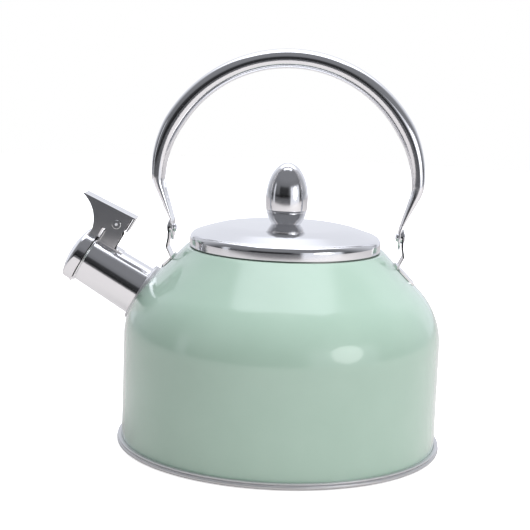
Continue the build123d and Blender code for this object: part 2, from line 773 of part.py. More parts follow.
with BuildPart() as bail_handle:
    top_start = (*arc_station(0, top_centre_height, bow_top_radius, -bow_corner), bow_thickness)
    with BuildSketch(station_plane(*top_start[:2])):
        RectangleRounded(bow_width, bow_thickness, bow_rounding)
        RectangleRounded(
            bow_width - 2 * bow_wall,
            bow_thickness - 2 * bow_wall,
            bow_rounding - bow_wall,
            mode=Mode.SUBTRACT,
        )
        with Locations((0, -bow_thickness / 2)):
            Rectangle(seam_slot, bow_thickness, mode=Mode.SUBTRACT)
    revolve(axis=Axis(origin=(0, 0, top_centre_height), direction=(0, 1, 0)), revolution_arc=2 * bow_corner)
    loft([bow_section(station, 0) for station in stations], ruled=True)
    hollow = [bow_section(station, bow_wall) for station in stations[:hollow_stations]]
    loft(hollow, ruled=True, mode=Mode.SUBTRACT)
    ankle_axis = Axis(origin=(tab_span + ankle_radius, 0, ankle_end[1]), direction=(0, -1, 0))
    with BuildSketch(station_plane(ankle_start, limb_direction)):
        Rectangle(2 * tab_radius, tab_sheet)
    revolve(axis=ankle_axis, revolution_arc=bow_lean)
    with BuildSketch(Plane.YZ.offset(tab_span - tab_sheet / 2)):
        with Locations((0, pivot_height)):
            Circle(tab_radius)
        with Locations((0, (pivot_height + ankle_end[1]) / 2)):
            Rectangle(2 * tab_radius, ankle_end[1] - pivot_height)
        with Locations((0, pivot_height)):
            Circle(rivet_radius + running_fit, mode=Mode.SUBTRACT)
    extrude(amount=tab_sheet)
    mirror(about=Plane.YZ)
bail_handle.part.label = "bail_handle"
export_step(bail_handle.part, "parts/bail_handle.step")

# ---------------------------------------------------------------- ears, rivets and spacers


def rivet_circle(span, side, radius):
    """Circle about the rivet's axis on a plane across it, facing outwards."""
    outward = Plane(origin=(side * span, 0, pivot_height), x_dir=(0, 1, 0), z_dir=(side, 0, 0))
    with BuildSketch(outward) as section:
        Circle(radius)
    return section.sketch


button_span = tab_span - tab_sheet / 2 - side_gap
button_radius = rivet_radius + rivet_button_proud
head_radius = rivet_radius + rivet_head_proud
ear_outside = ear_span + ear_sheet / 2
spacer_span = ear_span - ear_sheet / 2 - spacer_height

for side, end in ((-1, "left"), (1, "right")):
    foot_reach = tab_span + (foot_length_left if side < 0 else foot_length_right)
    with BuildPart() as ear:
        revolve(body_section(-ear_sheet), axis=Axis.Z)
        foot_start = ear_foot_span - ear_sheet
        with BuildSketch(Plane.XY.offset(wall_height)):
            with Locations((side * (foot_start + foot_reach) / 2, 0)):
                RectangleRounded(foot_reach - foot_start, ear_width, foot_corner)
        extrude(amount=ledge_height, mode=Mode.INTERSECT)
        ear_line = [
            (ear_span, pivot_height + ear_boss_radius),
            (ear_span, pivot_height - ear_upright),
            (ear_span + ear_flare, pivot_height - ear_knee_drop),
            (ear_foot_span, wall_height + shoulder_radius),
        ]
        with BuildSketch(Plane.XZ):
            with BuildLine():
                near = [(side * (x - ear_sheet / 2), z) for x, z in ear_line]
                far = [(side * (x + ear_sheet / 2), z) for x, z in ear_line]
                Polyline(*near, *reversed(far), close=True)
            make_face()
        extrude(amount=ear_width / 2, both=True)
        with BuildSketch(Plane.YZ):
            with BuildLine():
                Polyline(
                    (ear_boss_radius, pivot_height),
                    (-ear_boss_radius, pivot_height),
                    (-ear_width / 2, pivot_height - ear_knee_drop),
                    (-ear_width / 2, 0),
                    (ear_width / 2, 0),
                    (ear_width / 2, pivot_height - ear_knee_drop),
                    close=True,
                )
            make_face()
            with Locations((0, pivot_height)):
                Circle(ear_boss_radius)
                Circle(rivet_radius, mode=Mode.SUBTRACT)
        extrude(amount=side * 2 * body_radius, mode=Mode.INTERSECT)
        revolve(body_section(0), axis=Axis.Z, mode=Mode.SUBTRACT)
    ear.part.label = "ear_" + end
    export_step(ear.part, "parts/ear_" + end + ".step")

    with BuildPart() as rivet:
        extrude(rivet_circle(button_span - rivet_button, side, button_radius), amount=rivet_button)
        extrude(rivet_circle(button_span, side, rivet_radius), amount=ear_outside - button_span)
        extrude(rivet_circle(ear_outside, side, head_radius), amount=rivet_head)
        rims = rivet.edges().filter_by(GeomType.CIRCLE).group_by(Axis.X)
        fillet(rims[0] + rims[-1], rivet_rounding)
    rivet.part.label = "rivet_" + end
    export_step(rivet.part, "parts/rivet_" + end + ".step")

    with BuildPart() as spacer:
        extrude(rivet_circle(spacer_span, side, rivet_radius + spacer_wall), amount=spacer_height)
        extrude(rivet_circle(spacer_span, side, rivet_radius), amount=spacer_height, mode=Mode.SUBTRACT)
    spacer.part.label = "spacer_" + end
    export_step(spacer.part, "parts/spacer_" + end + ".step")
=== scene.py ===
"""Looks of a stovetop whistling kettle, laid out as an add-on and run as a script.

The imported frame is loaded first. Each operator makes one piece, or one group of like pieces,
as a surface worked out with numpy, and gives it its finish. Lengths are in metres.
"""

import json
from functools import partial

import bpy
import numpy as np
from bpy.props import FloatProperty, FloatVectorProperty, IntProperty, PointerProperty
from bpy.types import Operator, Panel, PropertyGroup
from mathutils import Matrix, Vector


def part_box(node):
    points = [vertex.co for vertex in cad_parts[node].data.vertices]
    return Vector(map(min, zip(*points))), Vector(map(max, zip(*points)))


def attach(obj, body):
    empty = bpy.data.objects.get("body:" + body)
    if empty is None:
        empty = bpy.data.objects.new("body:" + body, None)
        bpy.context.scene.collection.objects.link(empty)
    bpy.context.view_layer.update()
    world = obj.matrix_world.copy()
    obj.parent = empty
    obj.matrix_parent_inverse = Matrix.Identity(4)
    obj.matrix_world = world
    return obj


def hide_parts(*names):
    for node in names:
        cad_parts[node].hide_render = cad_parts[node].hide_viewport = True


bl_info = {
    "name": "Whistling Kettle",
    "version": (1, 0, 0),
    "blender": (4, 5, 0),
    "location": "3D View > Sidebar > Kettle",
    "description": "Makes the enamelled body, polished fittings and studio of a stovetop kettle",
    "category": "Add Mesh",
}

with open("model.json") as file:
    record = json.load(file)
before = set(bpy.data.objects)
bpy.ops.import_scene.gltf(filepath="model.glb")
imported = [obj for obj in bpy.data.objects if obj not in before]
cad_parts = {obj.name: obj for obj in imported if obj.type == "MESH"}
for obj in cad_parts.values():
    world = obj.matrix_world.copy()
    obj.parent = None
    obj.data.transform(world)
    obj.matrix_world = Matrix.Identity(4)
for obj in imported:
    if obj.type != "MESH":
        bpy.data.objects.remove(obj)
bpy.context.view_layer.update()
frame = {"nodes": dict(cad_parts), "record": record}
MM = 0.001

BODY_LOW, BODY_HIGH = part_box("body_shell")
PAN_LOW, PAN_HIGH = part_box("bottom_pan")
LID_LOW, LID_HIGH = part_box("lid_cover")
COLLAR_LOW, COLLAR_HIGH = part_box("knob_collar")
KNOB_LOW, KNOB_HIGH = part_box("knob_shell")
BOW_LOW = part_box("bail_handle")[0]

# Longest straight run on each profile, and steps round the small turned pieces
BODY_STEP, PAN_STEP, LID_STEP, FINE_STEP = 2.5 * MM, 8.0 * MM, 3.0 * MM, 2.0 * MM
KNOB_STEPS, SPOUT_STEPS, RIVET_STEPS = 128, 160, 48
CONE_SLOPE = np.radians(45.0)


# ---------------------------------------------------------------- sizes, colours and studio settings


def length(name, text, default):
    """A length property in metres."""
    return FloatProperty(name=name, description=text, default=default, precision=5, unit="LENGTH")


def turning(name, text, default):
    """An angle property in radians."""
    return FloatProperty(name=name, description=text, default=default, precision=4, unit="ROTATION")


def tint(name, text, default):
    """A colour property."""
    limits = {"subtype": "COLOR", "min": 0.0, "max": 1.0}
    return FloatVectorProperty(name=name, description=text, default=default, **limits)


def brightness(name, text, default):
    """A brightness property, where 1 is white."""
    return FloatProperty(name=name, description=text, default=default, min=0.0)


def wattage(name, text, default):
    """The power of a lamp in watts."""
    return FloatProperty(name=name, description=text, default=default, unit="POWER")


class KettleSizes(PropertyGroup):
    """Sizes of the turned and rolled pieces that the frame's boxes do not say."""

    sheet: length("Sheet", "Thickness of the drawn sheet", 0.6 * MM)
    wall_radius: length("Wall radius", "Outside of the straight wall", 97.2 * MM)
    shoulder_radius: length("Shoulder radius", "Bend from the wall into the cone", 45.5 * MM)
    wall_height: length("Wall height", "Level where the bend starts", 66.8 * MM)
    ledge_rounding: length("Ledge rounding", "Rounding from the cone to the ledge", 1.5 * MM)
    mouth_radius: length("Mouth radius", "Inside of the neck", 52.5 * MM)
    neck_depth: length("Neck depth", "Height of the neck below the ledge", 10.0 * MM)
    lid_crown_radius: length("Lid crown", "Outer end of the lid's shallow crown", 40.0 * MM)
    lid_flat: length("Lid flat", "Radius of the lid's flat middle", 9.5 * MM)
    lid_middle: length("Lid middle", "Radius halfway out on the lid's crown", 24.8 * MM)
    lid_drop: length("Lid drop", "Fall of the lid from its top to the crown's end", 0.8 * MM)
    lid_rim: length("Lid rim", "Height of the lid's rim", 7.4 * MM)
    lid_rounding: length("Lid rounding", "Rounding from the lid's slope to its rim", 4.5 * MM)
    spout_slope: turning("Spout slope", "Rise of the spout", np.radians(30.0))
    spout_lift: length("Spout lift", "Height of the spout's axis above the shoulder's normal", 2.8 * MM)
    spout_seat: length("Collar top", "Top of the collar from the foot of the spout's axis", 44.7 * MM)
    spout_reach: length("Spout reach", "Mouth of the tube from the foot of the spout's axis", 82.7 * MM)
    spout_root: length("Spout root", "Outside radius of the tube at the collar", 16.15 * MM)
    spout_mouth: length("Spout mouth", "Outside radius of the tube at its mouth", 15.0 * MM)
    spout_hole: length("Spout hole", "Hole in the body behind the spout", 14.6 * MM)
    collar_radius: length("Spout collar", "Outside radius of the spout's collar", 18.7 * MM)
    lip_radius: length("Spout lip", "Outside radius of the ring round the mouth", 16.0 * MM)
    lip_height: length("Lip height", "Height of the ring round the mouth", 1.2 * MM)
    cap_radius: length("Cap radius", "Outside radius of the cap", 17.0 * MM)
    cap_start: length("Cap start", "Top of the cap's plate, out from the mouth", 2.3 * MM)
    cap_height: length("Cap height", "Height of the cap above its plate", 9.0 * MM)
    cap_dome: length("Cap dome", "Rise of the cap's dome", 3.3 * MM)
    cap_corner: length("Cap corner", "Rounding between the cap's side and its dome", 2.2 * MM)
    steam_hole: length("Steam hole", "Radius of the hole in the cap", 2.5 * MM)
    knob_wall: length("Knob wall", "Thickness of the knob", 1.6 * MM)
    knob_waist: length("Knob waist", "Height of the knob's widest level above its base", 7.8 * MM)
    knob_tuck: length("Knob tuck", "Loss of radius from there to the base", 0.4 * MM)
    knob_foot: length("Knob foot", "Radius at the foot of the knob's collar", 8.8 * MM)
    knob_groove: length("Knob groove", "Radius of the groove under the knob", 11.2 * MM)
    knob_groove_height: length("Groove height", "Height of that groove", 0.6 * MM)
    screw_radius: length("Screw", "Radius of the screw through the lid", 2.5 * MM)
    pivot_height: length("Pivot height", "Level of the handle's rivets", 132.0 * MM)
    tab_span: length("Tab span", "Middle of each tab from the kettle's axis", 69.3 * MM)
    tab_sheet: length("Tab sheet", "Thickness of a tab", 1.2 * MM)
    tab_width: length("Tab width", "Width of a tab", 15.0 * MM)
    bow_span: length("Bow span", "Middle of the bow at its widest", 79.0 * MM)
    bow_widest: length("Bow widest", "Level where the bow is widest", 164.0 * MM)
    bow_side: length("Bow side", "Radius of the bow's two sides", 65.5 * MM)
    bow_width: length("Bow width", "Width of the bow from front to back", 17.0 * MM)
    bow_thickness: length("Bow thickness", "Thickness of the bow over the top", 11.6 * MM)
    limb_thickness: length("Limb thickness", "Thickness of the bow at its widest level", 7.3 * MM)
    bow_lean: turning("Bow lean", "Lean of the lower limbs", np.radians(22.0))
    bow_corner: turning("Bow corner", "Angle from the top where the top arc ends", np.radians(60.0))
    knee_radius: length("Knee", "Bend from the side into the limb", 18.7 * MM)
    ankle_radius: length("Ankle", "Bend from the limb into the tab", 12.0 * MM)
    seam_depth: length("Seam depth", "Depth of the open seam inside the bow", 1.7 * MM)
    rivet_radius: length("Rivet head", "Radius of a rivet's outer head", 3.3 * MM)
    rivet_head: length("Rivet height", "Height of a rivet's outer head", 1.2 * MM)
    rivet_shank: length("Rivet shank", "Radius of a rivet's shank", 2.0 * MM)
    rivet_button: length("Rivet button", "Radius of a rivet's inner head", 2.7 * MM)
    around: IntProperty(
        name="Steps around", description="Steps round the body, pan and lid", default=256, min=32, max=512
    )


class KettleFinish(PropertyGroup):
    """Colours and grain sizes of the finishes."""

    enamel: tint("Enamel", "Sage green enamel", (0.365, 0.50, 0.415))
    enamel_deep: tint("Enamel shade", "Slightly deeper enamel in the mottling", (0.35, 0.485, 0.40))
    polish: tint("Polished steel", "Mirror-polished stainless steel", (0.83, 0.825, 0.83))
    brushed: tint("Brushed steel", "Brushed stainless steel", (0.33, 0.32, 0.31))
    cast: tint("Spreader", "Aluminium heat spreader", (0.75, 0.75, 0.77))
    silicone: tint("Seal", "Silicone seal", (0.62, 0.62, 0.60))
    plug: tint("Plug", "Moulded plug inside the knob", (0.03, 0.03, 0.03))
    peel: length("Orange peel", "Size of the ripple in the enamel", 1.4 * MM)
    grain: length("Brush grain", "Spacing of the brushing lines", 0.12 * MM)
    smudge: length("Smudges", "Size of the haze on polished steel", 9.0 * MM)


class KettleStudio(PropertyGroup):
    """Camera and light."""

    azimuth: turning("Azimuth", "Camera to the right of the front", np.radians(2.5))
    distance: length("Distance", "Camera from the kettle's axis", 827.9 * MM)
    height: length("Height", "Camera above the floor", 244.9 * MM)
    pan: turning("Pan", "Camera's turn", -0.0143)
    tilt: turning("Tilt", "Camera's tilt", -0.160)
    roll: turning("Roll", "Camera's roll", 0.0374)
    lens: FloatProperty(
        name="Lens", description="Focal length on a 36 mm sensor", default=92.68, unit="CAMERA"
    )
    sky: brightness("Surround", "Strength of the white surround", 1.0)
    top: brightness("Top", "Brightness of the diffuser overhead", 2.6)
    dark: brightness("Dark side", "Brightness of the unlit room behind the camera", 0.14)
    panel: brightness("Panel", "Brightness of the white panel on the right", 0.9)
    floor_radius: length("Floor", "Radius over which the pale floor fades out", 1.5)
    overhead: wattage("Overhead", "Power of the overhead light", 8.0)
    key: wattage("Key", "Power of the light on the right", 10.0)
    fill: wattage("Fill", "Power of the light on the left", 4.5)
    glint: wattage("Glint", "Power of the small round light", 1.9)


# ---------------------------------------------------------------- shapes


def rounded_line(corners, radii, step):
    """Line through corners with every corner rounded, as an array of (radius, height).

    At each corner of rounding R the two runs meet at an angle with half-turn h. The arc starts
    R tan(h) before the corner and ends as far after it, and its points are the centre plus R times
    the unit vector turned evenly between the two normals, in 14 steps a radian and one more for each
    millimetre of R. Straight runs are divided by the step.
    """
    corners = np.asarray(corners, float)
    pieces = [corners[:1]]
    fewest, steps_a_radian = 4, 14
    for index in range(1, len(corners)):
        start = pieces[-1][-1]
        if index == len(corners) - 1:
            end, arc = corners[index], None
        else:
            before = corners[index] - corners[index - 1]
            after = corners[index + 1] - corners[index]
            before, after = before / np.linalg.norm(before), after / np.linalg.norm(after)
            turn = np.arctan2(before[0] * after[1] - before[1] * after[0], before @ after)
            reach = radii[index] * np.tan(abs(turn) / 2)
            end, arc = corners[index] - before * reach, None
            if radii[index] > 0:
                side = np.sign(turn) * np.array([-before[1], before[0]])
                centre = end + side * radii[index]
                steps = max(fewest, int(abs(turn) * steps_a_radian + radii[index] / MM))
                swing = np.linspace(0, turn, steps)[1:, None]
                out = -side
                across = np.array([-out[1], out[0]])
                arc = centre + radii[index] * (np.cos(swing) * out + np.sin(swing) * across)
        count = max(1, int(np.ceil(np.linalg.norm(end - start) / step)))
        pieces.append(start + (end - start) * np.linspace(0, 1, count + 1)[1:, None])
        if arc is not None:
            pieces.append(arc)
    return np.concatenate(pieces)


def grid_faces(rows, columns, close_rows, close_columns):
    """Quads of a grid of points numbered row by row; a closed way joins its last line to its first."""
    row = np.arange(rows if close_rows else rows - 1)
    column = np.arange(columns if close_columns else columns - 1)
    i, j = np.meshgrid(row, column, indexing="ij")
    down, right = (i + 1) % rows, (j + 1) % columns
    corners = (i * columns + j, down * columns + j, down * columns + right, i * columns + right)
    return np.stack(corners, -1).reshape(-1, 4)


def make_piece(name, points, faces, finishes, finish_of_face=None, sharp=35.0):
    """Mesh object from an array of points and an array of quads, with smooth shading.

    Points that coincide are made one, a quad that loses a corner so becomes a triangle, and the
    whole mesh is turned right side out by the sign of its volume, the sum over its triangles of
    a . (b x c) / 6.
    """
    apart = 1e-7
    rounded = np.round(points / apart).astype(np.int64)
    _, first, back = np.unique(rounded, axis=0, return_index=True, return_inverse=True)
    points, faces = points[first], back.reshape(-1)[faces]
    finish_of_face = np.zeros(len(faces), np.int32) if finish_of_face is None else finish_of_face
    a, b, c, d = points[faces].transpose(1, 0, 2)
    volume = np.einsum("ij,ij->i", a, np.cross(b, c) + np.cross(c, d)).sum()
    if volume < 0:
        faces = faces[:, ::-1]
    same = faces == np.roll(faces, -1, axis=1)
    keep = same.sum(1) <= 1
    faces, same, finish_of_face = faces[keep], same[keep], finish_of_face[keep]
    totals = 4 - same.sum(1)
    loops = faces[~same]
    mesh = bpy.data.meshes.new(name)
    mesh.vertices.add(len(points))
    mesh.vertices.foreach_set("co", points.astype(np.float32).ravel())
    mesh.loops.add(len(loops))
    mesh.loops.foreach_set("vertex_index", loops.astype(np.int32))
    mesh.polygons.add(len(faces))
    starts = np.concatenate([[0], np.cumsum(totals)[:-1]])
    mesh.polygons.foreach_set("loop_start", starts.astype(np.int32))
    mesh.polygons.foreach_set("loop_total", totals.astype(np.int32))
    for finish in finishes:
        mesh.materials.append(finish)
    mesh.polygons.foreach_set("material_index", finish_of_face.astype(np.int32))
    mesh.update(calc_edges=True)
    if mesh.validate():
        raise RuntimeError(f"{name} has faces that are not sound")
    mesh.shade_smooth()
    mesh.set_sharp_from_angle(angle=np.radians(sharp))
    piece = bpy.data.objects.new(name, mesh)
    bpy.context.scene.collection.objects.link(piece)
    return piece


def turn_points(profile, origin, axis, side, around, height_of=None):
    """Grid of points of a surface of revolution.

    Point (i, j) is origin + h_i axis + r_i (cos a_j side + sin a_j across), where across is
    axis x side and a_j goes once round. height_of may change h_i with the angle.
    """
    origin, axis, side = (np.asarray(v, float) for v in (origin, axis, side))
    across = np.cross(axis, side)
    angle = np.arange(around) * 2 * np.pi / around
    radial = np.cos(angle)[:, None] * side + np.sin(angle)[:, None] * across
    radius, height = profile[:, 0][:, None, None], profile[:, 1][:, None]
    level = np.broadcast_to(height, (len(profile), around)) if height_of is None else height_of(height, angle)
    return origin + level[..., None] * axis + radius * radial[None]


UP = (0.0, 0.0, 1.0)
RIGHT = (1.0, 0.0, 0.0)
CENTRE = (0.0, 0.0, 0.0)


def turned_piece(
    name, profile, finishes, around, origin=CENTRE, axis=UP, side=RIGHT, closed=True, height_of=None
):
    """Piece turned about an axis from a profile, closed on itself or ending on the axis at both ends."""
    points = turn_points(profile, origin, axis, side, around, height_of)
    faces = grid_faces(len(profile), around, closed, True)
    return make_piece(name, points.reshape(-1, 3), faces, finishes)


def spout_frame(sizes):
    """Foot of the spout's axis, its direction outwards, and the direction that rises from it."""
    slope = sizes.spout_slope
    out = np.array([-np.cos(slope), 0.0, np.sin(slope)])
    rise = np.array([np.sin(slope), 0.0, np.cos(slope)])
    bend_centre = np.array([-(sizes.wall_radius - sizes.shoulder_radius), 0.0, sizes.wall_height])
    return bend_centre + rise * sizes.spout_lift, out, rise


def shoulder_cut(sizes, radius, angle):
    """Distance along the spout's axis where a line at a radius and angle about it leaves the shoulder.

    The shoulder is the surface at the shoulder's radius from the circle of its centres. The
    distance is halved down between a place inside it and a place outside it.
    """
    foot, out, rise = spout_frame(sizes)
    across = np.cross(out, rise)
    base = foot + radius * (np.cos(angle)[:, None] * rise + np.sin(angle)[:, None] * across)
    nearest, farthest, halvings = 20.0 * MM, 70.0 * MM, 30
    low, high = np.full(len(angle), nearest), np.full(len(angle), farthest)
    for _ in range(halvings):
        middle = (low + high) / 2
        place = base + middle[:, None] * out
        ring = np.hypot(place[:, 0], place[:, 1]) - (sizes.wall_radius - sizes.shoulder_radius)
        inside = np.hypot(ring, place[:, 2] - sizes.wall_height) < sizes.shoulder_radius
        low, high = np.where(inside, middle, low), np.where(inside, high, middle)
    return (low + high) / 2


def trimmed_level(sizes, radius, end, level, angle):
    """Height of a level on a turned piece that stands on the shoulder.

    With c the height where the piece's line leaves the shoulder, level t is at c + (end - c) t.
    """
    cut = shoulder_cut(sizes, radius, angle)[None]
    return cut + (end - cut) * level


def bow_arc(x, z, radius, first, last, step=1.0 * MM):
    """Arc of the bow as (x + r sin a, z + r cos a, a), with a measured from the top."""
    angle = np.linspace(first, last, max(6, int(abs(last - first) * radius / step)))
    return np.stack([x + radius * np.sin(angle), z + radius * np.cos(angle), angle], 1)


def bow_line(s, tip):
    """Middle line of the bow from tab to tab as (x, z, turn), and the levels of its ankle and knee.

    Half of it is a top arc, a side arc, a knee arc, a straight limb, an ankle arc and an upright
    tab, each leaving the last along its tangent. The other half is its mirror in x.
    """
    corner, lean, upright = s.bow_corner, s.bow_lean, np.pi / 2
    side_x = s.bow_span - s.bow_side
    top_radius = s.bow_side + side_x / np.sin(corner)
    top_z = s.bow_widest - side_x / np.tan(corner)
    knee, ankle = s.knee_radius, s.ankle_radius
    knee_x = s.bow_span - knee
    knee_end = np.array([knee_x + knee * np.cos(lean), s.bow_widest - knee * np.sin(lean)])
    start_x = s.tab_span + ankle * (1 - np.cos(lean))
    start = np.array([start_x, knee_end[1] - (knee_end[0] - start_x) / np.tan(lean)])
    end_z = start[1] - ankle * np.sin(lean)
    down = upright + lean
    share = np.linspace(0, 1, 14)[1:, None]
    limb = np.hstack([knee_end + (start - knee_end) * share, np.full_like(share, down)])
    fold = np.linspace(lean, 0, 10)[1:]
    bend_x, bend_z = s.tab_span + ankle * (1 - np.cos(fold)), end_z + ankle * np.sin(fold)
    bend = np.stack([bend_x, bend_z, upright + fold], 1)
    sink = np.linspace(0, upright, 36)[1:]
    tab_z = tip + (end_z - tip) * (1 - np.sin(sink))
    tab = np.stack([np.full_like(sink, s.tab_span), tab_z, np.full_like(sink, upright)], 1)
    half = np.vstack([
        bow_arc(0, top_z, top_radius, 0, corner),
        bow_arc(side_x, s.bow_widest, s.bow_side, corner, upright)[1:],
        bow_arc(knee_x, s.bow_widest, knee, upright, down)[1:],
        limb, bend, tab,
    ])
    return np.vstack([half[:0:-1] * np.array([-1.0, 1.0, -1.0]), half]), start[1], knee_end[1]


def bow_thickness(s, level, turn, ankle_z, knee_z):
    """Thickness of the bow, even over the top and thinning through side, knee and limb to the tabs."""
    knee_share = 0.3
    knee_sheet = s.limb_thickness - (s.limb_thickness - s.tab_sheet) * knee_share
    levels = [ankle_z, (ankle_z + knee_z) / 2, knee_z, s.bow_widest]
    sheets = [s.tab_sheet, (s.tab_sheet + knee_sheet) / 2, knee_sheet, s.limb_thickness]
    over_top = [s.bow_thickness, s.bow_thickness, s.limb_thickness]
    upper = np.interp(np.abs(turn), [0, s.bow_corner, np.pi / 2], over_top)
    return np.where(level < s.bow_widest, np.interp(level, levels, sheets), upper)


def bow_sections(thick, width, groove, steps=11):
    """Sections of the bow as offsets across it and out from its middle line, one row for each place.

    A section is a rectangle with four rounded corners, each a quarter circle in even steps, and the
    seam's groove stands in the middle of its inner edge, before the last corner.
    """
    rounding = np.minimum(thick * 0.475, width * 0.45)[:, None]
    thick, width, groove = thick[:, None], width[:, None], groove[:, None]
    quarter = np.linspace(0, np.pi / 2, steps)
    swing = np.concatenate([quarter + corner * np.pi / 2 for corner in range(4)])
    sign_across = np.repeat([1, -1, -1, 1], steps)
    sign_out = np.repeat([1, 1, -1, -1], steps)
    across = sign_across * (width / 2 - rounding) + rounding * np.cos(swing)
    out = sign_out * (thick / 2 - rounding) + rounding * np.sin(swing)
    gap = np.array([-0.75, -0.5, -0.35, 0.35, 0.5, 0.75]) * MM
    depth = np.array([0.0, 0.25, 1.0, 1.0, 0.25, 0.0])
    narrow = 4 * MM
    seam_across = gap * np.minimum(1, width / narrow)
    seam_out = -thick / 2 + groove * depth
    last = 3 * steps
    across = np.hstack([across[:, :last], seam_across, across[:, last:]])
    return across, np.hstack([out[:, :last], seam_out, out[:, last:]])


# ---------------------------------------------------------------- finishes


class Term:
    """One number of a shader, with arithmetic."""

    def __init__(self, shading, socket):
        self.shading, self.socket = shading, socket

    def combine(self, operation, first, second):
        """Result of a maths node on two numbers."""
        node = self.shading.node("ShaderNodeMath", {"operation": operation}, {0: first, 1: second})
        return Term(self.shading, node.outputs[0])

    def __add__(self, other):
        return self.combine("ADD", self, other)

    __radd__ = __add__

    def __mul__(self, other):
        return self.combine("MULTIPLY", self, other)

    __rmul__ = __mul__

    def __sub__(self, other):
        return self.combine("SUBTRACT", self, other)

    def __rsub__(self, other):
        return self.combine("SUBTRACT", other, self)

    def __truediv__(self, other):
        return self.combine("DIVIDE", self, other)

    def __rtruediv__(self, other):
        return self.combine("DIVIDE", other, self)

    def __pow__(self, other):
        return self.combine("POWER", self, other)

    def __rpow__(self, other):
        return self.combine("POWER", other, self)


class Shading:
    """A node tree and what is added to it."""

    def __init__(self, tree):
        self.tree = tree

    def node(self, kind, settings=None, sockets=None):
        """Adds a node, sets its settings, then sets or links its sockets."""
        made = self.tree.nodes.new(kind)
        for name, value in (settings or {}).items():
            setattr(made, name, value)
        for name, value in (sockets or {}).items():
            if isinstance(value, Term):
                value = value.socket
            if isinstance(value, bpy.types.NodeSocket):
                self.tree.links.new(value, made.inputs[name])
            else:
                made.inputs[name].default_value = value
        return made

    def place(self, stretch=(1.0, 1.0, 1.0)):
        """Object coordinates in metres, stretched."""
        where = self.node("ShaderNodeTexCoord").outputs["Object"]
        return self.node("ShaderNodeVectorMath", {"operation": "MULTIPLY"}, {0: where, 1: stretch}).outputs[0]

    def noise(self, size, detail=2.0, where=None, roughness=0.5):
        """Noise of a feature size in metres, about 0 to 1."""
        where = where if where is not None else self.place()
        sockets = {"Vector": where, "Scale": 1.0 / size, "Detail": detail, "Roughness": roughness}
        return Term(self, self.node("ShaderNodeTexNoise", None, sockets).outputs["Fac"])

    def scratches(self, size, width, seed):
        """Sparse fine scratches: the places where a stretched, warped noise crosses its middle."""
        sockets = {"Vector": self.place(), "Rotation": seed, "Scale": (1.0, 0.08, 1.0)}
        field = self.noise(size, 1.0, self.node("ShaderNodeMapping", None, sockets).outputs[0])
        gate = self.noise(size * 3.0, 1.0)
        line = self.span(absolute(field - 0.5), 0.0, width, 1.0, 0.0)
        return line * self.span(gate, 0.5, 0.6, 0.0, 1.0)

    def span(self, value, low, high, start, end):
        """Maps low..high to start..end and keeps it there."""
        sockets = {"Value": value, "From Min": low, "From Max": high, "To Min": start, "To Max": end}
        return Term(self, self.node("ShaderNodeMapRange", {"clamp": True}, sockets).outputs[0])

    def blend(self, share, first, second):
        """Mix of two colours."""
        mix = self.node("ShaderNodeMix", {"data_type": "RGBA"})
        for socket, value in ((mix.inputs[0], share), (mix.inputs[6], first), (mix.inputs[7], second)):
            if isinstance(value, Term):
                self.tree.links.new(value.socket, socket)
            elif isinstance(value, bpy.types.NodeSocket):
                self.tree.links.new(value, socket)
            else:
                socket.default_value = value if isinstance(value, float) else (*value[:3], 1.0)
        return mix.outputs[2]


class Finish(Shading):
    """A material and its Principled shader."""

    def __init__(self, name, **constants):
        self.material = bpy.data.materials.new(name)
        self.material.use_nodes = True
        super().__init__(self.material.node_tree)
        self.shader = self.tree.nodes["Principled BSDF"]
        for socket, value in constants.items():
            self.shader.inputs[socket.replace("_", " ").title().replace("Ior", "IOR")].default_value = value

    def drive(self, **links):
        """Links values or colours to the shader's sockets."""
        for socket, value in links.items():
            value = value.socket if isinstance(value, Term) else value
            self.tree.links.new(value, self.shader.inputs[socket.replace("_", " ").title()])
        return self

    def relief(self, height, depth):
        """Feeds a height, in units of depth metres, to the shader's normal."""
        bump = self.node("ShaderNodeBump", None, {"Height": height, "Distance": depth, "Strength": 1.0})
        self.tree.links.new(bump.outputs[0], self.shader.inputs["Normal"])
        return self


def absolute(term):
    """Size of a number without its sign."""
    return term.combine("ABSOLUTE", term, 0.0)


def shaded(colour, share):
    """A colour with every channel multiplied by a share."""
    return tuple(channel * share for channel in colour)


def enamel_finish(colours):
    """Glossy sage enamel: faint mottling, orange peel, and a few fine specks under a clear surface."""
    made = Finish("sage_enamel", coat_weight=0.9, coat_roughness=0.015, specular_ior_level=0.35)
    mottle = made.noise(22.0 * MM, 3.0)
    speck = made.span(made.noise(0.55 * MM, 0.0), 0.72, 0.78, 0.0, 0.35)
    colour = made.blend(made.span(mottle, 0.3, 0.7, 0.0, 1.0), colours.enamel, colours.enamel_deep)
    colour = made.blend(speck, colour, colours.enamel_deep)
    haze = made.noise(14.0 * MM, 4.0)
    made.drive(base_color=colour, roughness=made.span(haze, 0.35, 0.7, 0.16, 0.24))
    peel = made.noise(colours.peel, 1.0)
    return made.relief(peel, 0.006 * MM).material


def polish_finish(colours, name="polished_steel", dull=0.0):
    """Mirror-polished steel: haze left by the buff and by fingers, with hair scratches."""
    made = Finish(name, metallic=1.0)
    haze = made.noise(colours.smudge, 4.0, roughness=0.6)
    cloud = made.noise(colours.smudge * 3.0, 2.0)
    hair = made.scratches(1.6 * MM, 0.006, (0.4, 0.2, 0.7)) + made.scratches(1.2 * MM, 0.005, (1.1, 0.9, 2.1))
    rough = made.span(haze * 0.6 + cloud * 0.4, 0.35, 0.65, 0.018 + dull, 0.05 + dull) + hair * 0.12
    colour = made.blend(made.span(cloud, 0.3, 0.7, 0.0, 1.0), colours.polish, shaded(colours.polish, 0.955))
    made.drive(base_color=colour, roughness=rough)
    return made.relief(made.noise(colours.smudge * 1.6, 1.0) + hair * -0.02, 0.012 * MM).material


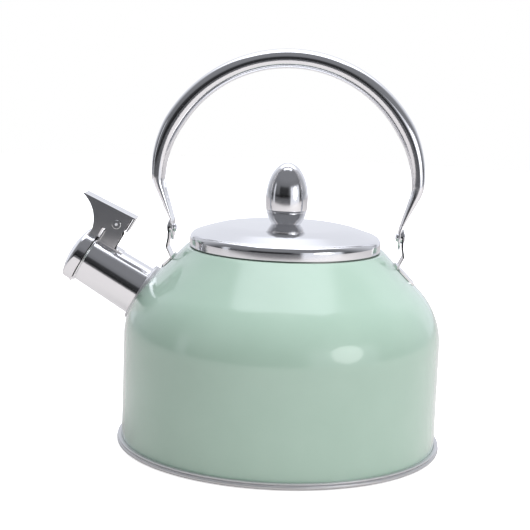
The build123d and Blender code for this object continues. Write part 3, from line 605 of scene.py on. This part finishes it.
def turned_place(made, grain):
    """Coordinates for brushing round the Z axis: radius and height in grains, angle in slow steps."""
    where = made.node("ShaderNodeSeparateXYZ", None, {0: made.place()})
    x, y, z = (Term(made, socket) for socket in where.outputs)
    radius = (x * x + y * y) ** 0.5
    angle = x.combine("ARCTAN2", y, x)
    sockets = {0: radius / grain, 1: angle * 1.5, 2: z / grain}
    return made.node("ShaderNodeCombineXYZ", None, sockets).outputs[0]


def brushed_finish(colours, name="brushed_steel", grain=1.0, rough=0.16):
    """Steel brushed on a lathe: fine rings of light and dark round the kettle's axis."""
    made = Finish(name, metallic=1.0)
    rings = made.noise(1.0, 3.0, turned_place(made, colours.grain * grain), 0.7)
    haze = made.noise(18.0 * MM, 3.0)
    share = made.span(rings, 0.25, 0.75, 0.0, 1.0)
    colour = made.blend(share, shaded(colours.brushed, 0.82), colours.brushed)
    patchy = made.span(rings * 0.6 + haze * 0.4, 0.3, 0.7, rough - 0.06, rough + 0.08)
    made.drive(base_color=colour, roughness=patchy)
    return made.relief(rings, 0.01 * MM).material


def moulded_finish(name, colour, rough, pore):
    """Moulded rubber or plastic: a fine matt grain and slight cloudiness."""
    made = Finish(name)
    cloud = made.noise(6.0 * MM, 3.0)
    made.drive(
        base_color=made.blend(cloud, shaded(colour, 0.88), colour),
        roughness=made.span(made.noise(pore, 2.0), 0.3, 0.7, rough - 0.08, rough + 0.08),
    )
    return made.relief(made.noise(pore, 2.0), 0.02 * MM).material


def spring_finish(colours):
    """Drawn spring wire: darker steel with fine lines."""
    made = Finish("spring_wire", metallic=1.0)
    lines = made.noise(0.25 * MM, 2.0)
    made.drive(
        base_color=made.blend(lines, shaded(colours.brushed, 0.6), shaded(colours.brushed, 0.8)),
        roughness=made.span(lines, 0.3, 0.7, 0.22, 0.36),
    )
    return made.relief(lines, 0.01 * MM).material


def finish(name):
    """A material by name: the frame's own plain one if it has that name, else the finishes operator's."""
    return bpy.data.materials[name]


# ---------------------------------------------------------------- operators


class KettleOperator(Operator):
    """Common ground of the kettle's operators."""

    bl_options = {"REGISTER", "UNDO"}

    @property
    def sizes(self):
        """Sizes of the pieces."""
        return bpy.context.scene.kettle_sizes


class KETTLE_OT_finishes(KettleOperator):
    """Makes every finish and gives the frame's nodes theirs"""

    bl_idname = "kettle.finishes"
    bl_label = "Finishes"

    def execute(self, context):
        colours = context.scene.kettle_finish
        enamel_finish(colours)
        polish_finish(colours)
        brushed_finish(colours)
        polish_finish(colours, "pressed_steel", 0.05)
        brushed_finish(colours, "pan_steel", 2.5, 0.36)
        spring_finish(colours)
        moulded_finish("spreader_aluminium", colours.cast, 0.45, 0.3 * MM)
        moulded_finish("seal_silicone", colours.silicone, 0.6, 0.2 * MM)
        moulded_finish("plug_plastic", colours.plug, 0.5, 0.25 * MM)
        wears = {
            "body_paint": "sage_enamel",
            "polished_steel": "pressed_steel",
            "brushed_steel": "pan_steel",
            "spring_steel": "spring_wire",
            "aluminium": "spreader_aluminium",
            "silicone": "seal_silicone",
            "knob_plug": "plug_plastic",
        }
        for part in frame["record"]["subparts"]:
            node = frame["nodes"][part["node"]]
            node.data.materials.clear()
            node.data.materials.append(finish(wears[part["material_slot"]]))
        return {"FINISHED"}


class KETTLE_OT_body(KettleOperator):
    """Makes the enamelled body: wall, rolled shoulder, cone, ledge and neck, with the spout's hole"""

    bl_idname = "kettle.body"
    bl_label = "Body"

    def execute(self, context):
        s = self.sizes
        top, foot = BODY_HIGH.z, BODY_LOW.z
        neck_foot, inner_top = top - s.neck_depth, top - s.sheet
        neck_outside, wall_inside = s.mouth_radius + s.sheet, s.wall_radius - s.sheet
        bend = s.wall_height + s.shoulder_radius * np.tan(CONE_SLOPE / 2)
        # Radius and height add up to the same sum everywhere on the cone
        cone = s.wall_radius + bend
        cone_inside = cone - s.sheet * np.sqrt(2)
        corners = [
            (s.wall_radius, foot), (s.wall_radius, bend), (cone - top, top), (s.mouth_radius, top),
            (s.mouth_radius, neck_foot), (neck_outside, neck_foot), (neck_outside, inner_top),
            (cone_inside - inner_top, inner_top), (wall_inside, cone_inside - wall_inside),
            (wall_inside, foot),
        ]
        roll, crease, bend_inside = 0.9 * MM, 0.3 * MM, s.shoulder_radius - s.sheet
        radii = [0, s.shoulder_radius, s.ledge_rounding, roll, 0, 0, crease, roll, bend_inside, 0]
        profile = rounded_line(corners, radii, BODY_STEP)
        points = turn_points(profile, CENTRE, UP, RIGHT, s.around)
        faces = grid_faces(len(profile), s.around, True, True)
        middle = points.reshape(-1, 3)[faces].mean(1)
        base, out, _ = spout_frame(s)
        along = (middle - base) @ out
        away = np.linalg.norm(middle - base - along[:, None] * out, axis=1)
        kept = (away > s.spout_hole) | (along < 0)
        # The enamel ends at the foot of the neck, and the inside is bare steel
        neck_row = len(rounded_line(corners[:5], radii[:5], BODY_STEP)) - 1
        row = np.repeat(np.arange(len(profile)), s.around)
        bare = (row >= neck_row).astype(np.int32)
        finishes = [finish("sage_enamel"), finish("pan_steel")]
        body = make_piece("body", points.reshape(-1, 3), faces[kept], finishes, bare[kept])
        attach(body, "kettle")
        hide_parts("body_shell")
        return {"FINISHED"}


class KETTLE_OT_pan(KettleOperator):
    """Makes the bottom pan with its rolled seam bead"""

    bl_idname = "kettle.pan"
    bl_label = "Bottom pan"

    def execute(self, context):
        s = self.sizes
        low, high, outer = PAN_LOW.z, PAN_HIGH.z, PAN_HIGH.x
        gap, drop = 0.05 * MM, 0.8 * MM
        slot, inner = s.wall_radius + gap, s.wall_radius - s.sheet - gap
        well, panel, slot_foot = inner - s.sheet, high - drop, low + s.sheet
        brim, groove = outer - 0.35 * MM, outer - 1.0 * MM
        brim_foot, groove_top, groove_foot, bead_top = (high - fall * MM for fall in (0.95, 1.05, 1.25, 1.3))
        corners = [
            (0, panel), (well, panel), (well, high), (inner, high), (inner, slot_foot), (slot, slot_foot),
            (slot, high), (brim, high), (brim, brim_foot), (groove, groove_top), (groove, groove_foot),
            (outer, bead_top), (outer, low), (well, low), (well, panel - s.sheet), (0, panel - s.sheet),
        ]
        radii = np.array([0, 0.4, 0.25, 0, 0, 0, 0.2, 0.35, 0.3, 0, 0, 1.1, 1.4, 0.4, 0.5, 0]) * MM
        profile = rounded_line(corners, radii, PAN_STEP)
        pan = turned_piece("bottom_pan_piece", profile, [finish("brushed_steel")], s.around, closed=False)
        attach(pan, "kettle")
        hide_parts("bottom_pan")
        return {"FINISHED"}


class KETTLE_OT_lid(KettleOperator):
    """Makes the polished lid cover"""

    bl_idname = "kettle.lid"
    bl_label = "Lid"

    def execute(self, context):
        s = self.sizes
        top, low, rim = LID_HIGH.z, LID_LOW.z, LID_HIGH.x
        under, rim_inside = top - s.sheet, rim - s.sheet
        crown_end, slight, tuck = top - s.lid_drop, 0.2 * MM, 0.4 * MM
        corners = [
            (s.screw_radius, top), (s.lid_flat, top), (s.lid_middle, top - slight),
            (s.lid_crown_radius, crown_end), (rim, low + s.lid_rim), (rim, low), (rim_inside, low),
            (rim_inside, low + s.lid_rim - tuck), (s.lid_crown_radius, crown_end - s.sheet),
            (s.lid_flat, under), (s.screw_radius, under),
        ]
        # Wide roundings that meet each other keep the crown free of rings
        crown, crown_inside = (500 * MM, 600 * MM, 50 * MM), (30 * MM, 200 * MM)
        edge = 0.25 * MM
        radii = [0, *crown, s.lid_rounding, edge, edge, s.lid_rounding - s.sheet, *crown_inside, 0]
        profile = rounded_line(corners, radii, LID_STEP)
        cover = turned_piece("lid_cover_piece", profile, [finish("polished_steel")], s.around)
        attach(cover, "lid")
        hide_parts("lid_cover")
        return {"FINISHED"}


class KETTLE_OT_knob(KettleOperator):
    """Makes the egg-shaped knob and its flared collar

    The egg is a quarter ellipse over its widest level, and under it r = wide - tuck (1 - t) squared.
    The collar's side is a straight flare with half a sine wave added.
    """

    bl_idname = "kettle.knob"
    bl_label = "Knob"

    def execute(self, context):
        s = self.sizes
        low, high, wide, wall = KNOB_LOW.z, KNOB_HIGH.z, KNOB_HIGH.x, s.knob_wall
        widest, lip = low + s.knob_waist, 0.3 * MM
        sweep = np.linspace(0, np.pi / 2, 60)[:, None]
        crown = np.hstack([wide * np.cos(sweep), widest + (high - widest) * np.sin(sweep)])
        share = np.linspace(0, 1, 14)[:, None]
        flank = np.hstack([wide - s.knob_tuck * (1 - share) ** 2, low + (widest - low) * share])
        inside = np.vstack([flank, crown[1:]])[::-1] * np.array([1 - wall / wide, 1.0])
        inside[:, 1] = low + (inside[:, 1] - low) * (high - low - wall) / (high - low)
        profile = np.vstack([flank[:1] - [lip, 0], flank[1:], crown[1:], inside])
        knob = turned_piece("knob_egg", profile, [finish("polished_steel")], KNOB_STEPS)

        start, end, flare, foot = COLLAR_LOW.z, COLLAR_HIGH.z, COLLAR_HIGH.x, s.knob_foot
        step, bulge = end - s.knob_groove_height, 0.45 * MM
        share = np.linspace(0, 1, 24)
        radius = foot + (flare - foot) * share + bulge * np.sin(np.pi * share)
        skirt = np.stack([radius, start + (step - start) * share], 1)
        groove = [(s.knob_groove, step), (s.knob_groove, end), (s.screw_radius, end), (s.screw_radius, start)]
        collar = turned_piece("knob_foot", np.vstack([skirt, groove]), [finish("polished_steel")], KNOB_STEPS)
        for piece, node in ((knob, "knob_shell"), (collar, "knob_collar")):
            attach(piece, "lid")
            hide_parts(node)
        return {"FINISHED"}


class KETTLE_OT_spout(KettleOperator):
    """Makes the tapered spout tube, its collar and the ring round its mouth"""

    bl_idname = "kettle.spout"
    bl_label = "Spout"

    def execute(self, context):
        s = self.sizes
        foot, out, rise = spout_frame(s)
        mouth_place = foot + out * s.spout_reach
        polished, brushed = [finish("polished_steel")], [finish("brushed_steel")]
        share = np.linspace(0, 1, 30)
        radius = s.spout_root + (s.spout_mouth - s.spout_root) * share
        walls = np.vstack([np.stack([radius, share], 1), np.stack([radius - s.sheet, share], 1)[::-1]])
        stand = partial(trimmed_level, s, s.spout_root, s.spout_reach)
        tube = turned_piece(
            "spout_tube_piece", walls, polished, SPOUT_STEPS, foot, out, rise, height_of=stand
        )

        # The collar's top is half an ellipse from its outside to the tube
        ring, root, bead_foot = s.collar_radius, s.spout_root + 0.1 * MM, 0.6
        sweep = np.linspace(0, np.pi, 17)[:, None]
        bead_radius = (ring + root) / 2 + (ring - root) / 2 * np.cos(sweep)
        bead = np.hstack([bead_radius, bead_foot + (1 - bead_foot) * np.sin(sweep)])
        profile = np.vstack([[(ring, 0.0)], bead, [(root, 0.0)]])
        stand = partial(trimmed_level, s, ring, s.spout_seat)
        collar = turned_piece(
            "spout_collar_piece", profile, brushed, SPOUT_STEPS, foot, out, rise, height_of=stand
        )

        bore, lip, high = s.spout_mouth - s.sheet, s.lip_radius, s.lip_height
        corners = [(bore, 0), (lip, 0), (lip, high), (bore, high), (bore, 0)]
        outer_edge, inner_edge = 0.45 * MM, 0.2 * MM
        profile = rounded_line(corners, [0, outer_edge, outer_edge, inner_edge, 0], FINE_STEP)[:-1]
        mouth = turned_piece("spout_lip", profile, polished, SPOUT_STEPS, mouth_place, out, rise)
        for piece, node in ((tube, "spout_tube"), (collar, "spout_collar"), (mouth, "mouth_ring")):
            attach(piece, "kettle")
            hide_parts(node)
        return {"FINISHED"}


class KETTLE_OT_cap(KettleOperator):
    """Makes the domed cap with its steam hole

    The dome's height is the cap's height less the dome's rise times the square of the share of the
    radius, and it meets the side in a rounding.
    """

    bl_idname = "kettle.cap"
    bl_label = "Whistle cap"

    def execute(self, context):
        s = self.sizes
        foot, out, rise = spout_frame(s)
        end, wide, dome_edge = s.cap_height, s.cap_radius, 0.7
        share = np.linspace(dome_edge, s.steam_hole / wide, 24)
        arch = np.stack([wide * share, end - s.cap_dome * share ** 2], 1)
        side = rounded_line([(wide, 0), (wide, end - s.cap_dome), arch[0]], [0, s.cap_corner, 0], FINE_STEP)
        outside = np.vstack([side, arch[1:]])
        inside = outside[::-1] * (1 - s.sheet / wide, 1 - s.sheet / end)
        profile, origin = np.vstack([outside, inside]), foot + out * (s.spout_reach + s.cap_start)
        cap = turned_piece("whistle_cap", profile, [finish("polished_steel")], KNOB_STEPS, origin, out, rise)
        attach(cap, "cap")
        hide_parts("cap_shell")
        return {"FINISHED"}


class KETTLE_OT_handle(KettleOperator):
    """Makes the rolled bail handle with its open seam and flattened tabs

    Point (i, j) is place i of the middle line plus section offset j, turned with the line. The
    width thins to nothing below the pivot as the root of 1 less the share squared.
    """

    bl_idname = "kettle.handle"
    bl_label = "Bail handle"

    def execute(self, context):
        s = self.sizes
        tip = BOW_LOW.z
        line, ankle_z, knee_z = bow_line(s, tip)
        x, z, turn = line.T
        thick = bow_thickness(s, z, turn, ankle_z, knee_z)
        width = np.interp(z, [ankle_z, s.bow_widest], [s.tab_width, s.bow_width])
        round_end = np.clip((s.pivot_height - z) / (s.pivot_height - tip), 0, 1)
        width = width * np.sqrt(np.clip(1 - round_end ** 2, 1e-6, 1))
        seam_start, seam_full, deepest = ankle_z + 8 * MM, knee_z + 4 * MM, 0.4
        groove = np.interp(z, [seam_start, seam_full], [0.0, s.seam_depth])
        across, out = bow_sections(thick, width, np.minimum(groove, thick * deepest))
        points_x = x[:, None] + out * np.sin(turn)[:, None]
        points_z = z[:, None] + out * np.cos(turn)[:, None]
        points = np.stack([points_x, across, points_z], -1)
        ends = np.broadcast_to(points[[0, -1]].mean(1)[:, None], (2, *points.shape[1:]))
        points = np.concatenate([ends[:1], points, ends[1:]])
        faces = grid_faces(len(points), points.shape[1], False, True)
        bow = make_piece("bail_bow", points.reshape(-1, 3), faces, [finish("polished_steel")], sharp=40.0)
        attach(bow, "handle")
        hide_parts("bail_handle")
        return {"FINISHED"}


class KETTLE_OT_rivets(KettleOperator):
    """Makes the two rivets, each with a domed head outside and a domed button inside

    Both domes are quarter ellipses turned about the rivet's axis.
    """

    bl_idname = "kettle.rivets"
    bl_label = "Rivets"

    def execute(self, context):
        s = self.sizes
        button_height, shank_start = 1.5 * MM, 1.7 * MM
        sweep = np.linspace(0, np.pi / 2, 12)
        for side, end in ((-1.0, "left"), (1.0, "right")):
            low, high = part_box("rivet_" + end)
            inner, outer = sorted((abs(low.x), abs(high.x)))
            fall = 1 - np.sin(sweep)
            head = np.stack([s.rivet_radius * np.cos(sweep), outer - s.rivet_head * fall], 1)
            button = np.stack([s.rivet_button * np.cos(sweep), inner + button_height * fall], 1)[::-1]
            shank = [(s.rivet_shank, inner + shank_start), (s.rivet_shank, outer - s.rivet_head)]
            profile, place = np.vstack([button, shank, head]), (0, 0, s.pivot_height)
            name, axis, polished = "rivet_" + end + "_piece", (side, 0, 0), [finish("polished_steel")]
            rivet = turned_piece(name, profile, polished, RIVET_STEPS, place, axis, UP, closed=False)
            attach(rivet, "kettle")
            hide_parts("rivet_" + end)
        return {"FINISHED"}


def make_floor(studio):
    """Pale floor whose edge fades out; the camera sees it plain white and reflections see it warmer."""
    reach, drop, lines = 2.4, 0.0002, 9
    middle, fade_start = (0.0, 0.65, 0.0), 0.9
    spread = np.linspace(-reach, reach, lines)
    x, y = np.meshgrid(spread, spread, indexing="ij")
    points = np.stack([x, y, np.full_like(x, -drop)], -1).reshape(-1, 3)
    paper = Finish("pale_paper", roughness=0.9, specular_ior_level=0.0, emission_strength=1.0)
    fibre = paper.noise(3.0 * MM, 3.0)
    seen = Term(paper, paper.node("ShaderNodeLightPath").outputs["Is Camera Ray"])
    bright = paper.blend(fibre, (0.93, 0.93, 0.93), (0.95, 0.95, 0.95))
    warm = paper.blend(fibre, (0.60, 0.575, 0.56), (0.63, 0.60, 0.585))
    glow = paper.blend(seen, (0.0, 0.0, 0.0), (0.8, 0.8, 0.8))
    paper.drive(base_color=paper.blend(seen, warm, bright), emission_color=glow)
    away = paper.node("ShaderNodeVectorMath", {"operation": "DISTANCE"}, {0: paper.place(), 1: middle})
    away = Term(paper, away.outputs["Value"])
    fade = paper.span(away, studio.floor_radius * fade_start, studio.floor_radius, 0.0, 1.0)
    clear = paper.node("ShaderNodeBsdfTransparent")
    edge = paper.node("ShaderNodeMixShader", None, {0: fade, 1: paper.shader.outputs[0], 2: clear.outputs[0]})
    paper.tree.links.new(edge.outputs[0], paper.tree.nodes["Material Output"].inputs["Surface"])
    return make_piece("floor", points, grid_faces(lines, lines, False, False)[:, ::-1], [paper.material])


def band(shading, value, rise, fall):
    """1 between the end of a rise and the start of a fall, and 0 outside them."""
    return shading.span(value, *rise, 0.0, 1.0) * shading.span(value, *fall, 1.0, 0.0)


def make_surround(scene, studio):
    """Studio round the kettle: plain white to the camera, and a lit front half and diffuser in reflections.

    The unlit half is a dark wall with a skirting line, a lamp stand's shadow, a tall strip on the
    left and a white panel on the right. Angles round the kettle are the arctangent of x over -y.
    """
    world = bpy.data.worlds.new("surround")
    scene.world = world
    world.use_nodes = True
    room = Shading(world.node_tree)
    direction = room.node("ShaderNodeTexCoord").outputs["Generated"]
    parts = room.node("ShaderNodeSeparateXYZ", None, {0: direction})
    x, y, z = (Term(room, socket) for socket in parts.outputs)
    aside = room.span(absolute(x), 0.35, 0.8, 0.0, 0.9)
    lit = room.span(y + z * 0.22 - aside, -0.05, 0.05, 0.0, 1.0)
    top = room.span(z, 0.6, 0.97, 0.0, studio.top - 1.0)
    skirting = room.span(absolute(z - 0.02), 0.01, 0.06, studio.dark * 0.12, studio.dark)
    wall = skirting + room.span(z, 0.12, 0.6, 0.0, studio.dark * 0.9)
    around = x.combine("ARCTAN2", x, 0.0 - y)
    panel = band(room, around, (0.36, 0.44), (1.25, 1.35))
    strip = band(room, around, (-1.36, -1.32), (-1.2, -1.16))
    low = room.span(z, 0.3, 0.38, 1.0, 0.0)
    stand = band(room, around, (-0.75, -0.65), (0.16, 0.24)) * low
    stand = stand * room.span(z, -0.06, -0.02, 0.0, 1.0)
    wall = wall * (1.0 - stand * 0.75) + room.span(absolute(around), 1.5, 2.2, 0.0, 0.55)
    wall = wall + (panel + strip * 0.8) * low * studio.panel
    shade = lit * (1.0 + top) + (1.0 - lit) * wall
    seen = Term(room, room.node("ShaderNodeLightPath").outputs["Is Camera Ray"])
    background = room.tree.nodes["Background"]
    tinted = room.blend(seen, (0.86, 0.88, 0.95), (1.0, 1.0, 1.0))
    room.tree.links.new(tinted, background.inputs["Color"])
    strength = seen + (1.0 - seen) * shade * studio.sky
    room.tree.links.new(strength.socket, background.inputs["Strength"])


# Name, place, size and whether it shows in reflections; each lamp's power is the setting of its name
LAMPS = (
    ("overhead", (0.1, -0.1, 1.2), 0.9, False),
    ("key", (1.15, -1.0, 0.75), 0.9, False),
    ("fill", (-1.2, -1.1, 0.7), 0.9, False),
    ("glint", (1.0, -0.87, 0.32), 0.55, True),
)
LAMP_AIM = (0.0, 0.0, 0.1)


def make_lamps(scene, studio):
    """Round lamps that all point at the middle of the kettle."""
    for name, place, size, glossy in LAMPS:
        lamp = bpy.data.lights.new(name, "AREA")
        lamp.shape, lamp.size, lamp.energy = "DISK", size, getattr(studio, name)
        holder = bpy.data.objects.new(name, lamp)
        scene.collection.objects.link(holder)
        holder.location = place
        holder.rotation_mode = "QUATERNION"
        holder.rotation_quaternion = (Vector(LAMP_AIM) - Vector(place)).to_track_quat("-Z", "Y")
        holder.visible_glossy = glossy


def make_camera(scene, studio):
    """Camera in front of the kettle, panned, tilted and rolled, then swung round the kettle's axis."""
    pan, tilt, roll = studio.pan, studio.tilt, studio.roll
    ahead = np.array([np.sin(pan) * np.cos(tilt), np.cos(pan) * np.cos(tilt), np.sin(tilt)])
    level = np.array([np.cos(pan), -np.sin(pan), 0.0])
    above = np.cross(level, ahead)
    right = np.cos(roll) * level + np.sin(roll) * above
    top = -np.sin(roll) * level + np.cos(roll) * above
    swing = Matrix.Rotation(studio.azimuth, 3, "Z")
    right, top, ahead = (swing @ Vector(v) for v in (right, top, ahead))
    place = swing @ Vector((0.0, -studio.distance, studio.height))
    camera = bpy.data.objects.new("camera", bpy.data.cameras.new("camera"))
    camera.data.sensor_width, camera.data.lens = 36.0, studio.lens
    scene.collection.objects.link(camera)
    camera.matrix_world = Matrix((
        (right.x, top.x, -ahead.x, place.x),
        (right.y, top.y, -ahead.y, place.y),
        (right.z, top.z, -ahead.z, place.z),
        (0.0, 0.0, 0.0, 1.0),
    ))
    scene.camera = camera


class KETTLE_OT_stage(KettleOperator):
    """Makes the floor, the surround, the lights and the camera"""

    bl_idname = "kettle.stage"
    bl_label = "Stage"

    def execute(self, context):
        scene, studio = context.scene, context.scene.kettle_studio
        floor = make_floor(studio)
        make_surround(scene, studio)
        make_lamps(scene, studio)
        make_camera(scene, studio)
        scene.view_settings.view_transform = "Standard"
        return {"FINISHED"}


PIECE_OPERATORS = (
    KETTLE_OT_finishes, KETTLE_OT_body, KETTLE_OT_pan, KETTLE_OT_lid, KETTLE_OT_knob, KETTLE_OT_spout,
    KETTLE_OT_cap, KETTLE_OT_handle, KETTLE_OT_rivets, KETTLE_OT_stage,
)


class KETTLE_PT_panel(Panel):
    """Lists the kettle's operators and settings"""

    bl_idname = "KETTLE_PT_panel"
    bl_label = "Whistling kettle"
    bl_space_type = "VIEW_3D"
    bl_region_type = "UI"
    bl_category = "Kettle"

    def draw(self, context):
        for operator in PIECE_OPERATORS:
            self.layout.operator(operator.bl_idname)
        for group, _ in SETTINGS:
            settings, box = getattr(context.scene, group), self.layout.box()
            for name in settings.bl_rna.properties.keys():
                if name not in ("rna_type", "name"):
                    box.prop(settings, name)


SETTINGS = (("kettle_sizes", KettleSizes), ("kettle_finish", KettleFinish), ("kettle_studio", KettleStudio))


def register():
    """Registers the settings, the operators and the panel."""
    for name, group in SETTINGS:
        bpy.utils.register_class(group)
        setattr(bpy.types.Scene, name, PointerProperty(type=group))
    for operator in PIECE_OPERATORS:
        bpy.utils.register_class(operator)
    bpy.utils.register_class(KETTLE_PT_panel)


def unregister():
    """Takes away what register added, in the opposite order."""
    bpy.utils.unregister_class(KETTLE_PT_panel)
    for operator in reversed(PIECE_OPERATORS):
        bpy.utils.unregister_class(operator)
    for name, group in SETTINGS:
        delattr(bpy.types.Scene, name)
        bpy.utils.unregister_class(group)


def main():
    """Registers the add-on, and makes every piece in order."""
    register()
    for operator in PIECE_OPERATORS:
        group, name = operator.bl_idname.split(".")
        getattr(getattr(bpy.ops, group), name)()


if __name__ == "__main__":
    main()
